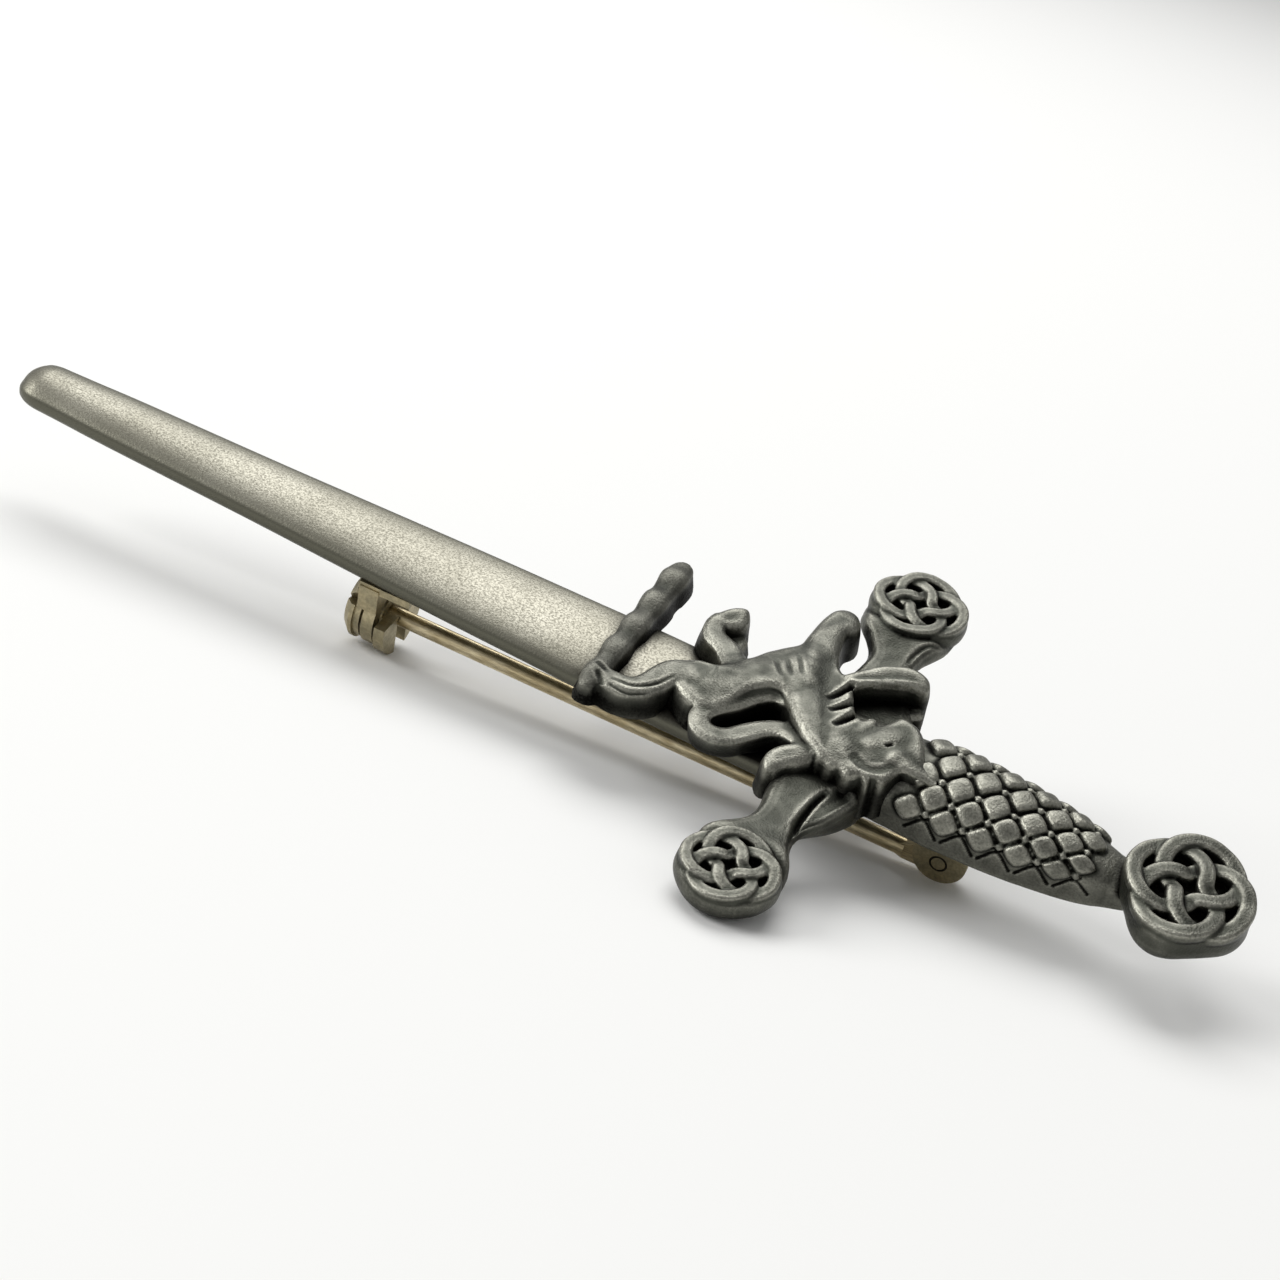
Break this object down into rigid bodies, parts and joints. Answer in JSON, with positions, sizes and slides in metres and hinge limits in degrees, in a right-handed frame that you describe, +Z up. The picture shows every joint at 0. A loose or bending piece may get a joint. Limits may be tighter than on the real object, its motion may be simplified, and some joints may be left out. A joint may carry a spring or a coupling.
{
  "type": "kilt pin",
  "caption": "Sword-shaped kilt pin with a rampant lion and knotwork bosses in relief, its hinged pin held by a turning safety catch.",
  "frame": {"origin": "on the surface that it lies on, under the middle of its outline", "axes": "+Z up; +X along the sword, from the blade's tip towards the pommel; +Y across it, towards the raised guard boss"},
  "size_m": [0.0975, 0.0376, 0.0152],
  "materials": {
    "pewter": "antiqued satin pewter, dark in its recesses",
    "plated_brass": "dull plated brass",
    "pin_wire": "drawn satin wire"
  },
  "bodies": {
    "brooch": {"sword_casting": "pewter", "hinge_block": "plated_brass", "hinge_rivet": "plated_brass", "catch_base": "plated_brass"},
    "pin": {"pin_stem": "pin_wire"},
    "lock": {"catch_lock": "plated_brass"}
  },
  "joints": [
    {"name": "pin_swing", "type": "hinge", "parent": "brooch", "child": "pin", "pos_m": [0.02778, 0.00185, 0.00184], "axis": [0.0121, -0.9401, -0.3406], "range_deg": [0, 85]},
    {"name": "lock_turn", "type": "hinge", "parent": "brooch", "child": "lock", "pos_m": [-0.01646, 0.00089, 0.00292], "axis": [0.9988, 0.0279, -0.0414], "range_deg": [0, 120]}
  ]
}
